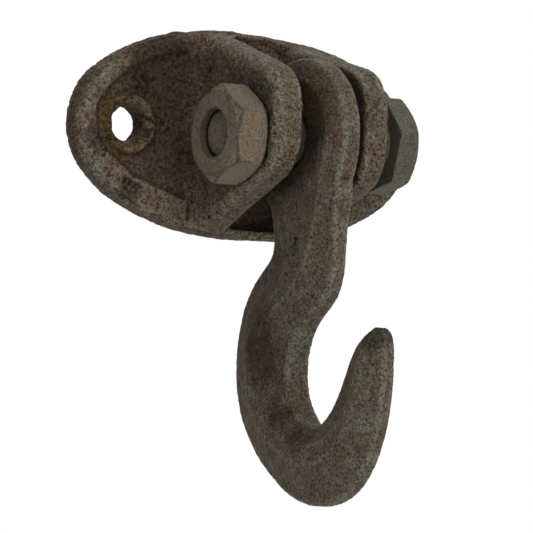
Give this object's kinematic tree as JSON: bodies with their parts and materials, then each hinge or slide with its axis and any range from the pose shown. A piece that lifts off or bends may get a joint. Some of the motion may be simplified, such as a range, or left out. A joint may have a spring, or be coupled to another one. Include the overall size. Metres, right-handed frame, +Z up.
{
  "type": "swinging meat hook",
  "caption": "Cast-iron meat hook: a J-shaped hook whose eye swings on a hexagon bolt between the ears of an oval wall plate with screw holes",
  "frame": {"origin": "on the bracket's flat back, in the wall's plane, halfway between the two screw holes", "axes": "+Z up, -Y out of the wall towards the room, X along the bolt with the bolt's head at +X and the nut at -X"},
  "size_m": [0.0858, 0.0602, 0.1032],
  "materials": {
    "wall_bracket": "rough sand-cast skin with a dark brown-grey coating",
    "swing_hook": "rough sand-cast skin with a dark brown-grey coating",
    "pivot_bolt": "matt brown coating, worn at the edges",
    "hex_nut": "matt brown coating, worn at the edges"
  },
  "bodies": {
    "bracket": {"wall_bracket": "wall_bracket"},
    "hook": {"swing_hook": "swing_hook"},
    "bolt": {"pivot_bolt": "pivot_bolt", "hex_nut": "hex_nut"}
  },
  "joints": [
    {"name": "hook_swing", "type": "hinge", "parent": "bracket", "child": "hook", "pos_m": [0.002, -0.0248, -0.0023], "axis": [1, 0, 0], "range_deg": [-162, 1.5]},
    {"name": "bolt_end_play", "type": "slide", "parent": "bracket", "child": "bolt", "axis": [1, 0, 0], "range_m": [-0.0034, 0]}
  ]
}
